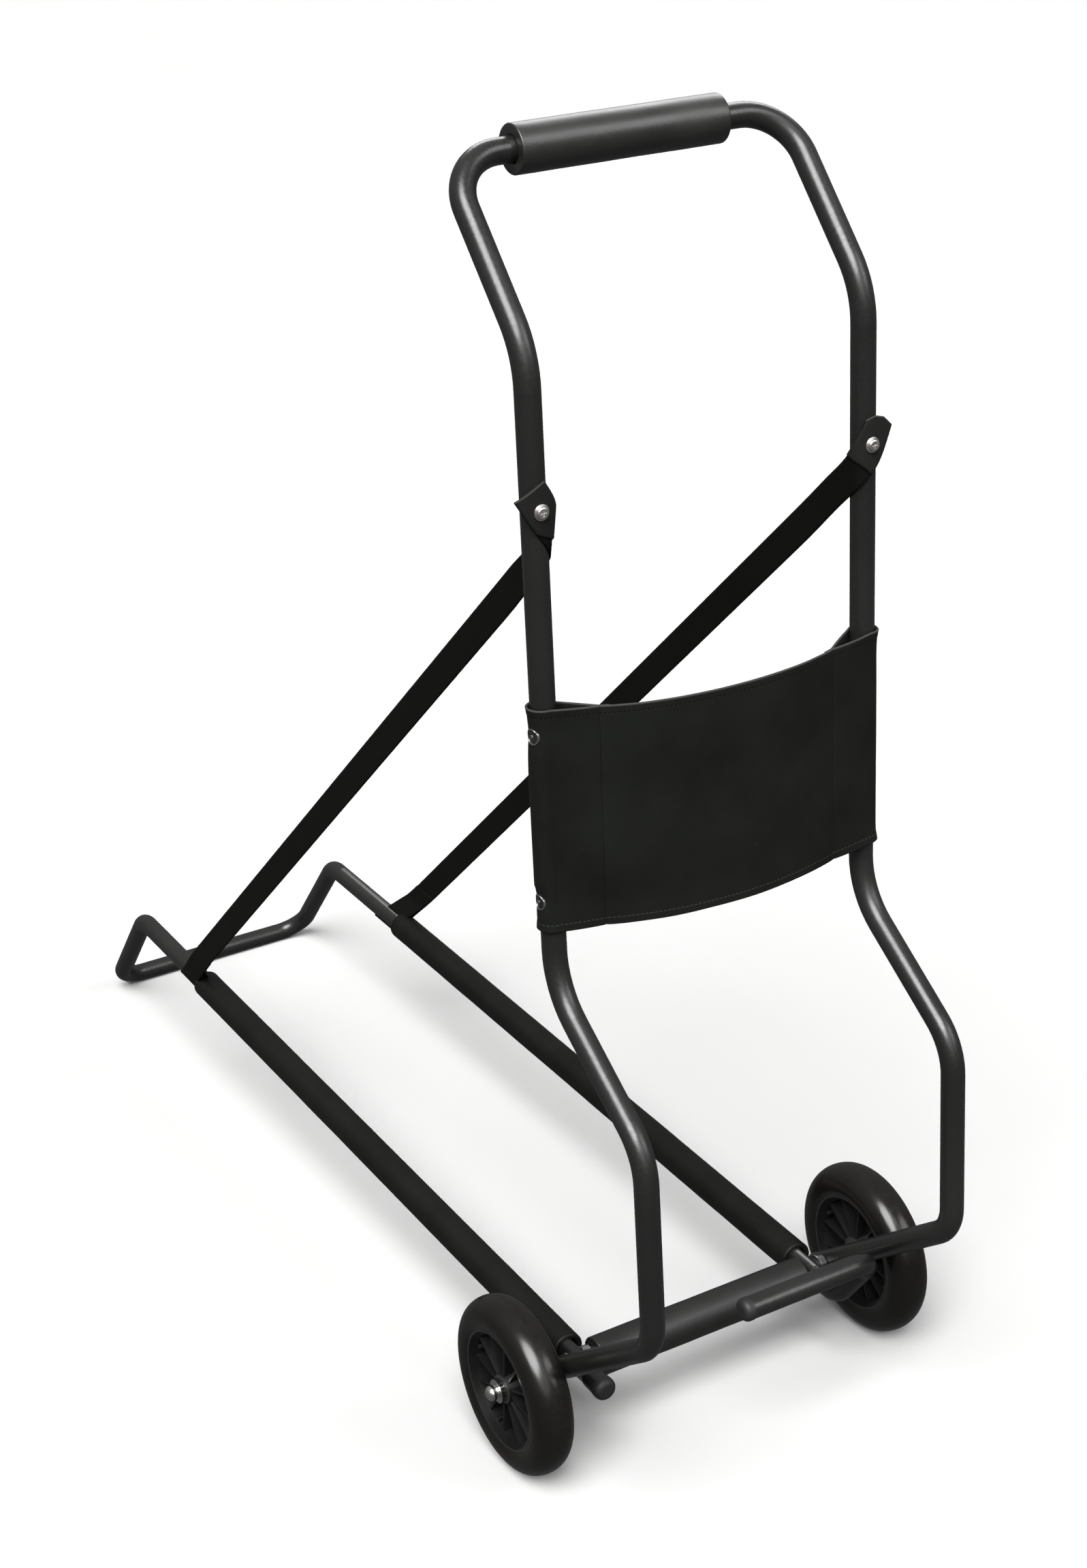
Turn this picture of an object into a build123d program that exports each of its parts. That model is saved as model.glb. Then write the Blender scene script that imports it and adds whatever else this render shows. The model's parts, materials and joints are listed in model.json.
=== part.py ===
"""Folding two-wheeled carrying cart: a bent-tube upright hinged on the wheel axle to a bent-tube base.

Millimetres, +Z up, +Y towards the front foot, +X to the right seen from behind the grip.
The origin is at floor level under the middle of the whole cart.
"""
from build123d import *
import math
import os

os.makedirs("parts", exist_ok=True)

# ---------------------------------------------------------------- driving dimensions
TUBE_D = 19.0            # all frame tube
TUBE_WALL = 1.5
WHEEL_D = 150.0
TYRE_SEAT_R = 50.6       # rim outside radius, inside radius of the tyre
AXLE_D = 10.0
AXLE_Y = -432.3          # axle position, origin in the middle of the length
AXLE_Z = WHEEL_D / 2
X_UPRIGHT = 140.0        # upright and leg centre planes
X_RAIL = 115.0           # base rail centre planes
X_WHEEL = 174.5          # wheel mid planes

# side profile of the upright from the axle up, (y, z) with y from the axle
P4 = (-164.0, 188.5)     # leg to lower riser
P3 = (-166.5, 352.5)     # lower riser to forward slope
P2 = (-50.5, 442.5)      # forward slope to main riser
P1 = (-66.5, 923.0)      # main riser to handle slope
P0 = (27.5, 1041.5)      # handle slope to grip bar
R_P4, R_P3, R_P2, R_P1, R_HANDLE = 38.0, 50.0, 62.0, 70.0, 40.0
LEG_PAST_AXLE = 27.0     # leg runs on past the axle

# base rail, (y, z) with y from the axle
F1 = (919.4, 124.6)      # rail to front drop
F2 = (1030.6, 9.5)       # front drop to cross bar on the floor
R_FRONT = 30.0
RAIL_SPLIT = 895.0       # rail length from the axle to the front loop
EYE_T = 11.8             # tube squeezed part flat on the axle
EYE_H = 23.1
EYE_X = {-1: -117.0, 1: 113.0}   # mid planes of the squeezed eyes

# foot bar behind the axle
FOOT_Y, FOOT_Z = -90.0, 130.5
FOOT_X0, FOOT_X1 = 119.0, -5.0
R_FOOT = 24.0

# foam
RAIL_FOAM_D = 28.0
RAIL_FOAM_START = {-1: 15.5, 1: 17.6}   # along the rail from the axle
RAIL_FOAM_END = 753.0
CROSS_FOAM_D = 33.6
CROSS_FOAM_DROP = 4.3          # the loose sleeve hangs on its spacer tube
SPACER_D = 13.0
CROSS_FOAM_X = (-99.5, 106.6)
GRIP_D = 36.0
GRIP_X = (-89.0, 82.5)         # the grip sits a little left of the middle

# back panel
PANEL_Z, PANEL_H = 578.0, 177.0
PANEL_T = 1.4
PANEL_BOW = 21.5               # the slack panel bellies this far back at its middle
RIVETS_UP = (-61.6, 69.8)      # rivet heights from the panel's middle
RIVET_R = 6.2
RIVET_RIM = 1.05               # width of the rolled rim
# rivets face this far round from straight back, outboard, (lower, upper)
RIVET_TURN = {-1: (88.0, 80.0), 1: (118.0, 118.0)}

# straps
STRAP_W, STRAP_T = 25.0, 1.6
STRAP_SCREW_Z = {-1: 814.5, 1: 809.7}
STRAP_LOOP = 775.0             # loop position along the rail from the axle

R = TUBE_D / 2
RI = R - TUBE_WALL


# ---------------------------------------------------------------- helpers
def at(x, yz):
    """Point from a side-profile pair measured from the axle's foot point."""
    return Vector(x, yz[0] + AXLE_Y, yz[1])


def unit2(a, b):
    d = math.hypot(b[0] - a[0], b[1] - a[1])
    return ((b[0] - a[0]) / d, (b[1] - a[1]) / d)


def along(a, u, s):
    return (a[0] + u[0] * s, a[1] + u[1] * s)


def sweep_round(points, radii, r_out, r_in=0.0):
    """Round bar or tube along straight runs joined by tangent arcs."""
    if radii:
        path = FilletPolyline(*points, radius=radii)
    else:
        path = Line(*points)
    start = Plane(origin=path @ 0, z_dir=path % 0)
    section = Circle(r_out) - Circle(r_in) if r_in else Circle(r_out)
    return sweep(start * section, path=path)


def ring(x0, x1, r_out, r_in, yz=None):
    """Washer or sleeve along X."""
    y, z = yz if yz else (AXLE_Y, AXLE_Z)
    pl = Plane(origin=(x0, y, z), z_dir=(1, 0, 0))
    sec = Circle(r_out) - Circle(r_in) if r_in else Circle(r_out)
    return extrude(pl * sec, amount=x1 - x0)


def hexnut(x0, x1, across, bore):
    pl = Plane(origin=(x0, AXLE_Y, AXLE_Z), z_dir=(1, 0, 0))
    body = extrude(pl * (RegularPolygon(across / 2, 6, major_radius=False)), amount=x1 - x0)
    mid = (x0 + x1) / 2
    tip = across / math.sqrt(3)
    h = abs(x1 - x0) / 2
    # chamfered corners on both faces
    barrel = Plane(origin=(mid, AXLE_Y, AXLE_Z), z_dir=(1, 0, 0)) * (
        extrude(Circle(tip + 0.01), amount=h, both=True))
    barrel = chamfer(barrel.edges().filter_by(GeomType.CIRCLE), 0.9)
    body = body & barrel
    return body - ring(min(x0, x1) - 1, max(x0, x1) + 1, bore, 0)


def lathe_x(x_mid, pts, side=1):
    """Revolve (offset along X, radius) points round the axle line."""
    poly = [Vector(x_mid + side * a, 0, r) for a, r in pts]
    face = make_face(Polyline(*poly, close=True))
    solid = revolve(face, axis=Axis.X, revolution_arc=360)
    return Pos(0, AXLE_Y, AXLE_Z) * solid


def group(*items):
    flat = []
    for it in items:
        flat += list(it.solids())
    return Compound(children=flat)


def save(name, shape):
    export_step(shape, "parts/" + name + ".step")
    bb = shape.bounding_box()
    print(f"{name:20s} solids {len(shape.solids()):2d}  vol {shape.volume / 1000:9.2f} cm3"
          f"  x {bb.min.X:8.2f} {bb.max.X:8.2f}  y {bb.min.Y:8.2f} {bb.max.Y:8.2f}"
          f"  z {bb.min.Z:8.2f} {bb.max.Z:8.2f}")


AXLE = (0.0, AXLE_Z)
leg_dir = unit2(P4, AXLE)                 # down the leg, towards the axle
riser_dir = unit2(P2, P1)                 # up the main riser
slope_dir = unit2(P1, P0)                 # up the handle slope
rail_dir = unit2(AXLE, F1)                # forward along the rail
slope_len = math.hypot(P0[0] - P1[0], P0[1] - P1[1])
SPLIT_UP = along(P1, slope_dir, 60.0)     # joint between upright and handle bow


def on_riser(z):
    """Centre of the main riser at a height."""
    return along(P2, riser_dir, (z - P2[1]) / riser_dir[1])


def riser_plane(x, z):
    """Frame on the riser: local Z up the riser, local X world X, local Y forward."""
    c = on_riser(z)
    return Plane(origin=at(x, c), x_dir=(1, 0, 0), z_dir=(0, riser_dir[0], riser_dir[1]))


# ---------------------------------------------------------------- uprights and handle
def upright(side):
    x = side * X_UPRIGHT
    pts = [at(x, along(AXLE, leg_dir, LEG_PAST_AXLE)), at(x, P4), at(x, P3), at(x, P2), at(x, P1),
           at(x, SPLIT_UP)]
    tube = sweep_round(pts, [R_P4, R_P3, R_P2, R_P1], R, RI)
    # cross hole for the pivot bush
    tube -= ring(x - 20, x + 20, 6.5, 0)
    # rivet and screw holes
    for up in RIVETS_UP:
        tube -= rivet_plane(side, up) * Pos(0, 0, 5) * extrude(Circle(1.85), amount=8)
    tube -= screw_plane(side) * Pos(0, 0, 5) * extrude(Circle(2.05), amount=8)
    return tube


def rivet_plane(side, up):
    base = riser_plane(side * X_UPRIGHT, PANEL_Z)
    a = math.radians(RIVET_TURN[side][RIVETS_UP.index(up)])
    o = base.from_local_coords(Vector(0, 0, up))
    n = base.from_local_coords(Vector(side * math.sin(a), -math.cos(a), 0)) - base.origin
    return Plane(origin=o, z_dir=n)


def screw_plane(side):
    base = riser_plane(side * X_UPRIGHT, STRAP_SCREW_Z[side])
    n = base.from_local_coords(Vector(0, -1, 0)) - base.origin
    return Plane(origin=base.origin, x_dir=(1, 0, 0), z_dir=n)


save("left_upright", upright(-1))
save("right_upright", upright(1))

bow_pts = [at(-X_UPRIGHT, SPLIT_UP), at(-X_UPRIGHT, P0), at(X_UPRIGHT, P0), at(X_UPRIGHT, SPLIT_UP)]
save("handle_bow", sweep_round(bow_pts, [R_HANDLE, R_HANDLE], R, RI))

grip = ring(GRIP_X[0], GRIP_X[1], GRIP_D / 2, R, (P0[0] + AXLE_Y, P0[1]))
outer = grip.edges().filter_by(GeomType.CIRCLE).filter_by(lambda e: e.radius > GRIP_D / 2 - 0.5)
grip = fillet(outer, 1.0)
save("grip", grip)

# ---------------------------------------------------------------- leg pivots
for name, side in (("left", -1), ("right", 1)):
    x = side * X_UPRIGHT
    save(name + "_leg_bush", ring(x - 9.2, x + 9.2, 6.5, AXLE_D / 2 + 0.05))
    end = along(AXLE, leg_dir, LEG_PAST_AXLE)
    pl = Plane(origin=at(x, end), z_dir=(0, leg_dir[0], leg_dir[1]))
    head = extrude(Circle(R), amount=3.0)
    head = fillet(head.edges().group_by(Axis.Z)[-1], 2.4)
    plug = head + Pos(0, 0, -3.6) * extrude(Circle(RI), amount=3.6)
    save(name + "_leg_plug", pl * plug)

# ---------------------------------------------------------------- back panel
panel_pl = riser_plane(0, PANEL_Z)
h2 = PANEL_H / 2
sleeve_in, sleeve_out = R, R + PANEL_T
back0, back1 = -R, -(R + PANEL_T)
belly = make_face([
    ThreePointArc((-X_UPRIGHT, back0), (0, back0 - PANEL_BOW), (X_UPRIGHT, back0)),
    Line((X_UPRIGHT, back0), (X_UPRIGHT, back1)),
    ThreePointArc((X_UPRIGHT, back1), (0, back1 - PANEL_BOW), (-X_UPRIGHT, back1)),
    Line((-X_UPRIGHT, back1), (-X_UPRIGHT, back0)),
])
flat = extrude(belly, amount=h2, both=True)
panel = flat
for side in (-1, 1):
    panel += Pos(side * X_UPRIGHT, 0, 0) * extrude(Circle(sleeve_out), amount=h2, both=True)
for side in (-1, 1):
    panel -= Pos(side * X_UPRIGHT, 0, 0) * extrude(Circle(sleeve_in), amount=h2 + 5, both=True)
panel = panel_pl * panel
for side in (-1, 1):
    for up in RIVETS_UP:
        panel -= rivet_plane(side, up) * Pos(0, 0, 5) * extrude(Circle(1.85), amount=9)
save("back_panel", panel)

rivets = []
for side in (-1, 1):
    sleeve = riser_plane(side * X_UPRIGHT, PANEL_Z)

    def skin(t):
        """Shell lying on the round sleeve, t thick."""
        return sleeve * extrude(Circle(sleeve_out + t) - Circle(sleeve_out), amount=h2, both=True)

    for up in RIVETS_UP:
        pl = rivet_plane(side, up)
        # raised rim and thin dished middle, both bent to the round sleeve
        rim = pl * extrude(Circle(RIVET_R) - Circle(RIVET_R - RIVET_RIM), amount=18) & skin(0.65)
        rim += pl * extrude(Circle(RIVET_R - 0.25) - Circle(RIVET_R - RIVET_RIM + 0.25), amount=18) & skin(0.9)
        dish = pl * extrude(Circle(RIVET_R - 0.3), amount=18) & skin(0.4)
        pip = Pos(0, 0, sleeve_out) * extrude(Circle(1.6), amount=1.0)
        pip = fillet(pip.edges().group_by(Axis.Z)[-1], 0.4)
        pip -= Pos(0, 0, sleeve_out + 0.5) * extrude(Circle(0.7), amount=1.0)
        shank = Pos(0, 0, RI - 1.0) * extrude(Circle(1.8), amount=sleeve_out - RI + 1.2)
        rivets.append(rim + dish + pl * (pip + shank))
save("panel_rivets", group(*rivets))

# ---------------------------------------------------------------- straps
strap_mid = (14.0, 724.8)                # point on the strap's centre line
strap_u = unit2((14.0, 724.8), (773.9, 116.75))


def strap(side):
    """Webbing from the screw, round the inboard side of the riser, then straight down to the rail."""
    x_top = side * (X_UPRIGHT - R - 0.15 - STRAP_T / 2)
    x_low = side * (X_RAIL + R + 0.45 + STRAP_T / 2 + 1.2)
    top = at(x_top, along(strap_mid, strap_u, -102.0))
    low = at(x_low, along(strap_mid, strap_u, 930.0))
    d = (low - top).normalized()
    pl = Plane(origin=top, x_dir=Vector(1, 0, 0), z_dir=d)
    bar = pl * extrude(Rectangle(STRAP_T, STRAP_W), amount=(low - top).length)
    # wrapped end under the screw
    base = riser_plane(side * X_UPRIGHT, STRAP_SCREW_Z[side])
    r0, r1 = R + 0.15, R + 0.15 + STRAP_T
    sec = make_face(Polyline((r0, 0, -13), (r1, 0, -13), (r1, 0, 13), (r0, 0, 13), close=True))
    tab = revolve(sec, axis=Axis.Z, revolution_arc=130)
    # local angle of the inboard side, then round the back of the tube
    tab = Rot(0, 0, 180 if side > 0 else -130) * tab
    tab = base * tab
    # short fall from the wrap to the straight run
    drop = base * (Pos(-side * (R + 0.15 + STRAP_T / 2), 0, 0) * extrude(Rectangle(STRAP_T, 14), amount=-34))
    piece = tab + drop + bar
    piece -= screw_plane(side) * Pos(0, 0, 5) * extrude(Circle(2.05), amount=12)
    return piece


save("left_strap", strap(-1))
save("right_strap", strap(1))

# stitched loops that hold the strap ends on the rails
for name, side in (("left_strap_loop", -1), ("right_strap_loop", 1)):
    pts = [at(side * X_RAIL, along(AXLE, rail_dir, STRAP_LOOP - STRAP_W / 2)),
           at(side * X_RAIL, along(AXLE, rail_dir, STRAP_LOOP + STRAP_W / 2))]
    save(name, sweep_round(pts, None, R + STRAP_T, R))

screws, cups = [], []
for side in (-1, 1):
    pl = screw_plane(side)
    seat = R + 0.15 + STRAP_T
    cup = Pos(0, 0, seat) * (extrude(Circle(6.0), amount=1.2) - extrude(Circle(2.1), amount=1.2))
    cup = fillet(cup.edges().filter_by(GeomType.CIRCLE).filter_by(lambda e: e.radius > 5.5).group_by(Axis.Z)[-1], 0.6)
    cups.append(pl * cup)
    head = Pos(0, 0, seat + 1.2) * extrude(Circle(4.7), amount=2.6)
    head = fillet(head.edges().group_by(Axis.Z)[-1], 1.6)
    top = seat + 1.2 + 2.6
    for turn in (0, 90):
        head -= Pos(0, 0, top - 1.4) * Rot(0, 0, turn) * extrude(Rectangle(4.8, 1.1), amount=2)
    shank = Pos(0, 0, RI - 6.0) * extrude(Circle(2.0), amount=seat + 1.2 - RI + 6.0)
    screws.append(pl * (head + shank))
save("strap_screws", group(*screws))
save("strap_washers", group(*cups))


# ---------------------------------------------------------------- base rails
def round_section(s, x):
    """Full round section of the tube at a distance along the rail."""
    c = along(AXLE, rail_dir, s)
    return Plane(origin=at(x, c), x_dir=(1, 0, 0), z_dir=(0, rail_dir[0], rail_dir[1])) * Circle(R)


def slot_section(s, side):
    c = along(AXLE, rail_dir, s)
    pl = Plane(origin=at(EYE_X[side], c), x_dir=(1, 0, 0), z_dir=(0, rail_dir[0], rail_dir[1]))
    return pl * RectangleRounded(EYE_T, EYE_H, EYE_T / 2 - 0.15)


def rail(side, tail):
    x = side * X_RAIL
    eye_half, eye_end = 13.0, 26.0
    # the left tail carries on in line with its eye, the right one swings out to the foot bar
    x_tail = EYE_X[side] if tail else x
    body = extrude(slot_section(-eye_half, side), amount=2 * eye_half)
    body += loft([slot_section(eye_half, side), round_section(eye_end, x)])
    body += loft([slot_section(-eye_half, side), round_section(-eye_end, x_tail)])
    run = sweep_round([at(x, along(AXLE, rail_dir, eye_end)), at(x, along(AXLE, rail_dir, RAIL_SPLIT))],
                      None, R, RI)
    body += run
    if tail:
        stub = sweep_round([at(x_tail, along(AXLE, rail_dir, -eye_end)), at(x_tail, along(AXLE, rail_dir, -tail))],
                           None, R, RI)
        body += stub
    body -= ring(x - 20, x + 20, AXLE_D / 2 + 0.05, 0)
    return body


TAIL = 40.3
save("left_rail", rail(-1, TAIL))
save("right_rail", rail(1, 0))

front_pts = [at(-X_RAIL, along(AXLE, rail_dir, RAIL_SPLIT)), at(-X_RAIL, F1), at(-X_RAIL, F2),
             at(X_RAIL, F2), at(X_RAIL, F1), at(X_RAIL, along(AXLE, rail_dir, RAIL_SPLIT))]
save("front_loop", sweep_round(front_pts, [R_FRONT] * 4, R, RI))

foot_pts = [at(X_RAIL, along(AXLE, rail_dir, -26.0)), at(X_RAIL, along(AXLE, rail_dir, -42.0)),
            Vector(FOOT_X0, FOOT_Y + AXLE_Y, FOOT_Z), Vector(FOOT_X1, FOOT_Y + AXLE_Y, FOOT_Z)]
save("foot_bar", sweep_round(foot_pts, [R_FOOT, R_FOOT], R, RI))

# domed plugs in the tube ends
def cap(pl):
    head = extrude(Circle(R + 0.35), amount=9.0)
    head = fillet(head.edges().group_by(Axis.Z)[-1], 5.5)
    head = fillet(head.edges().group_by(Axis.Z)[0], 0.3)
    return pl * (head + Pos(0, 0, -6.0) * extrude(Circle(RI), amount=6.0))


tail_end = along(AXLE, rail_dir, -TAIL)
save("tail_cap", cap(Plane(origin=at(EYE_X[-1], tail_end), z_dir=(0, -rail_dir[0], -rail_dir[1]))))
save("foot_bar_cap", cap(Plane(origin=(FOOT_X1, FOOT_Y + AXLE_Y, FOOT_Z), z_dir=(-1, 0, 0))))

# foam sleeves on the rails
for name, side in (("left_rail_sleeve", -1), ("right_rail_sleeve", 1)):
    pts = [at(side * X_RAIL, along(AXLE, rail_dir, RAIL_FOAM_START[side])),
           at(side * X_RAIL, along(AXLE, rail_dir, RAIL_FOAM_END))]
    foam = sweep_round(pts, None, RAIL_FOAM_D / 2, R)
    # room for the squeezed eye inside the rear mouth
    taper = loft([slot_section(10.0, side), slot_section(13.0, side)])
    taper += loft([slot_section(13.0, side), round_section(26.0, side * X_RAIL)])
    save(name, foam - taper)

# ---------------------------------------------------------------- axle, cross tube and hardware
save("axle_rod", ring(-196.5, 196.5, AXLE_D / 2, 0))
save("cross_tube", ring(-104.0, EYE_X[1] - EYE_T / 2, SPACER_D / 2, AXLE_D / 2 + 0.05))
save("cross_sleeve", ring(CROSS_FOAM_X[0], CROSS_FOAM_X[1], CROSS_FOAM_D / 2, SPACER_D / 2 + CROSS_FOAM_DROP,
                          (AXLE_Y, AXLE_Z - CROSS_FOAM_DROP)))

left_in, left_out = EYE_X[-1] + EYE_T / 2, EYE_X[-1] - EYE_T / 2
right_out = EYE_X[1] + EYE_T / 2
# from each eye outwards: collar, washer, thin nut up against the leg
collar_l, collar_r = left_out - 1.1, right_out + 4.3
save("axle_collars", group(ring(collar_l, left_out, 6.8, AXLE_D / 2 + 0.05),
                           ring(right_out, collar_r, 6.8, AXLE_D / 2 + 0.05)))
save("axle_washers", group(ring(collar_l - 1.4, collar_l, 8.6, AXLE_D / 2 + 0.05),
                           ring(collar_r, collar_r + 1.4, 8.6, AXLE_D / 2 + 0.05)))
save("axle_nuts", group(hexnut(left_in, -104.0, 17.0, AXLE_D / 2),
                        hexnut(-130.1, collar_l - 1.4, 14.0, AXLE_D / 2),
                        hexnut(collar_r + 1.4, 130.1, 14.0, AXLE_D / 2)))
save("wheel_spacers", group(ring(-161.6, -150.0, 7.5, AXLE_D / 2 + 0.05),
                            ring(150.0, 161.6, 7.5, AXLE_D / 2 + 0.05)))
wash = []
for side in (-1, 1):
    for a, b in ((187.4, 189.2), (189.6, 191.6)):
        w = ring(side * a, side * b, 10.0, AXLE_D / 2 + 0.05)
        wash.append(w)
save("outer_washers", group(*wash))
for name, side in (("left_axle_cap", -1), ("right_axle_cap", 1)):
    # mushroom push cap over the rod end: short neck, wider dome
    pl = Plane(origin=(side * 191.8, AXLE_Y, AXLE_Z), z_dir=(side, 0, 0))
    c = Pos(0, 0, 2.4) * extrude(Circle(6.6), amount=6.3)
    c = fillet(c.edges().group_by(Axis.Z)[-1], 5.0)
    c = fillet(c.edges().group_by(Axis.Z)[0], 0.4)
    c += extrude(Circle(5.8), amount=3.0)
    c -= extrude(Circle(AXLE_D / 2), amount=196.5 - 191.8)
    save(name, pl * c)


# ---------------------------------------------------------------- wheels
def hub(side):
    xm = side * X_WHEEL
    # rim with stepped inside wall, mid web, centre boss
    half = [(15.6, TYRE_SEAT_R), (15.6, 49.2), (14.4, 49.2), (14.4, 48.0), (13.0, 48.0), (13.0, 46.8),
            (11.4, 46.8), (11.4, 45.6), (1.6, 45.0), (1.6, 14.0), (11.8, 12.4), (12.3, 11.9), (12.3, 7.5)]
    pts = half + [(-a, r) for a, r in reversed(half)]
    body = lathe_x(xm, pts)
    # rib spokes, thin and full depth
    for i in range(12):
        ang = i * 30.0 + 8.0
        rib = Pos(0, 0, 29.0) * Box(20.4, 2.0, 36.0)
        rib = Pos(xm, AXLE_Y, AXLE_Z) * Rot(ang, 0, 0) * rib
        body += rib
    # small bosses by the rim
    for i in range(4):
        ang = i * 90.0 + 23.0
        pin = Rot(ang, 0, 0) * (Pos(0, 0, 43.4) * (Rot(0, 90, 0) * Cylinder(2.1, 19.0)))
        body += Pos(xm, AXLE_Y, AXLE_Z) * pin
    return body - ring(xm - 20, xm + 20, 7.5, 0)


def tyre(side):
    xm = side * X_WHEEL
    prof = [(15.6, TYRE_SEAT_R), (17.3, 54.0), (17.9, 58.5), (17.2, 63.5), (14.9, 68.2), (10.9, 72.0), (5.6, 74.3),
            (0.0, 75.0)]
    prof = prof + [(-a, r) for a, r in reversed(prof[:-1])]
    v = [Vector(xm + a, 0, r) for a, r in prof]
    face = make_face([Spline(*v), Line(v[-1], v[0])])
    return Pos(0, AXLE_Y, AXLE_Z) * revolve(face, axis=Axis.X, revolution_arc=360)


for name, side in (("left", -1), ("right", 1)):
    save(name + "_hub", hub(side))
    save(name + "_tyre", tyre(side))
    xm = side * X_WHEEL
    save(name + "_hub_bush", ring(xm - 12.4, xm + 12.4, 7.5, AXLE_D / 2 + 0.05))
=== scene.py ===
import json
import math

import bpy
import numpy as np
from mathutils import Matrix, Vector, noise


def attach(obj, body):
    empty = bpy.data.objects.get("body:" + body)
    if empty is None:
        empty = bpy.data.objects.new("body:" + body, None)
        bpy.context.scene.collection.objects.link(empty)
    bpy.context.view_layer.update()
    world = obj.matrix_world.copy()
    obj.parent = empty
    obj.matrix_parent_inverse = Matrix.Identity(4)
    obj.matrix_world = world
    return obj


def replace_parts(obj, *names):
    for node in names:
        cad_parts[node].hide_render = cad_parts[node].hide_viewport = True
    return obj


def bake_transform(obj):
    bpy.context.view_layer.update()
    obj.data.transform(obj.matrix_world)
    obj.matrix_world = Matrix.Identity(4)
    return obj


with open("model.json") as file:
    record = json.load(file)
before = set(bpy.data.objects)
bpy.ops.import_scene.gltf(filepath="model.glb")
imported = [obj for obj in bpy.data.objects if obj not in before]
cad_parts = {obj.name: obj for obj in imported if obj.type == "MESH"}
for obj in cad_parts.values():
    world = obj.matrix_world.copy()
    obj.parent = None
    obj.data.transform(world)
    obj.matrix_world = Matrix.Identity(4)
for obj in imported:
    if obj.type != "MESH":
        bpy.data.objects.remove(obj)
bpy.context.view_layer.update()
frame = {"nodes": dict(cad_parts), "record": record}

nodes = frame["nodes"]

# All shapes below are laid out in millimetres and scaled to metres when the mesh is made.
AY, AZ = -432.3, 75.0                       # axle line
X_UP, X_RAIL, R_TUBE = 140.0, 115.0, 9.5
RAIL = np.array([0.99855, 0.05387])         # along the rail, (y, z)
RAIL_N = np.array([-0.05387, 0.99855])      # up, square to the rail
UP = np.array([0.0, -16.0, 480.5]); UP /= np.linalg.norm(UP)       # up the riser
BACK = np.array([0.0, -UP[2], UP[1]])                              # straight back from the riser


def riser(z):
    """Middle of the risers at a height."""
    return np.array([0.0, AY - 50.5 - (z - 442.5) * 16.0 / 480.5, z])


def smooth(t):
    t = np.clip(t, 0.0, 1.0)
    return t * t * (3 - 2 * t)


def wob(x, y, z, size, seed=0.0):
    """Seeded soft noise, about -1 to 1."""
    return noise.noise(Vector((x / size + seed * 7.31, y / size - seed * 3.17, z / size + seed * 1.93)))


# ---------------------------------------------------------------- mesh helpers
def link(name, verts, faces, uv=None, mats=(), mat_of=None):
    me = bpy.data.meshes.new(name)
    me.from_pydata((np.asarray(verts, float) * 0.001).tolist(), [], [[int(i) for i in f] for f in faces])
    for m in mats:
        me.materials.append(m)
    me.polygons.foreach_set("use_smooth", np.ones(len(faces), bool))
    if mat_of is not None:
        me.polygons.foreach_set("material_index", np.asarray(mat_of, np.int32))
    if uv is not None:
        layer = me.uv_layers.new(name="UVMap")
        idx = np.zeros(len(me.loops), np.int32)
        me.loops.foreach_get("vertex_index", idx)
        layer.data.foreach_set("uv", (np.asarray(uv, float) * 0.001)[idx].astype(np.float32).ravel())
    me.update()
    ob = bpy.data.objects.new(name, me)
    bpy.context.scene.collection.objects.link(ob)
    return ob


def grid_normals(P):
    du = np.gradient(P, axis=0)
    dv = np.gradient(P, axis=1)
    n = np.cross(du, dv)
    n /= np.maximum(np.linalg.norm(n, axis=2, keepdims=True), 1e-9)
    return n


def thick_strip(P, U, V, T, N=None, round_edges=0.75):
    """Closed strip round a grid of points P[i, j]: i along it, j across. Returns verts, faces, uv, station of each face."""
    n_i, n_j = P.shape[:2]
    if N is None:
        N = grid_normals(P)
    T = np.broadcast_to(T, (n_i, n_j))[..., None]
    a, b = P + N * T / 2, P - N * T / 2
    w0 = P[:, 0] - P[:, 1]
    w0 /= np.maximum(np.linalg.norm(w0, axis=1, keepdims=True), 1e-9)
    w1 = P[:, -1] - P[:, -2]
    w1 /= np.maximum(np.linalg.norm(w1, axis=1, keepdims=True), 1e-9)
    e0 = P[:, 0] + w0 * T[:, 0] / 2 * round_edges
    e1 = P[:, -1] + w1 * T[:, -1] / 2 * round_edges
    loop = np.concatenate([a, e1[:, None], b[:, ::-1], e0[:, None]], axis=1)
    k = loop.shape[1]
    uu = np.concatenate([U, U[:, -1:], U[:, ::-1], U[:, :1]], axis=1)
    vv = np.concatenate([V, V[:, -1:], V[:, ::-1], V[:, :1]], axis=1)
    verts = loop.reshape(-1, 3)
    uv = np.stack([uu, vv], -1).reshape(-1, 2)
    faces, station = [], []
    for i in range(n_i - 1):
        for q in range(k):
            r = (q + 1) % k
            faces.append((i * k + q, (i + 1) * k + q, (i + 1) * k + r, i * k + r))
            station.append(i)
    for i, turn in ((0, False), (n_i - 1, True)):
        o = i * k
        caps = []
        for j in range(n_j - 1):
            caps.append((o + j, o + j + 1, o + 2 * n_j - 1 - j, o + 2 * n_j - j))
        caps.append((o, o + 2 * n_j, o + 2 * n_j + 1))
        caps.append((o + n_j - 1, o + n_j, o + n_j + 1))
        for c in caps:
            faces.append(c[::-1] if turn else c)
            station.append(i)
    return verts, faces, uv, station


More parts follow.
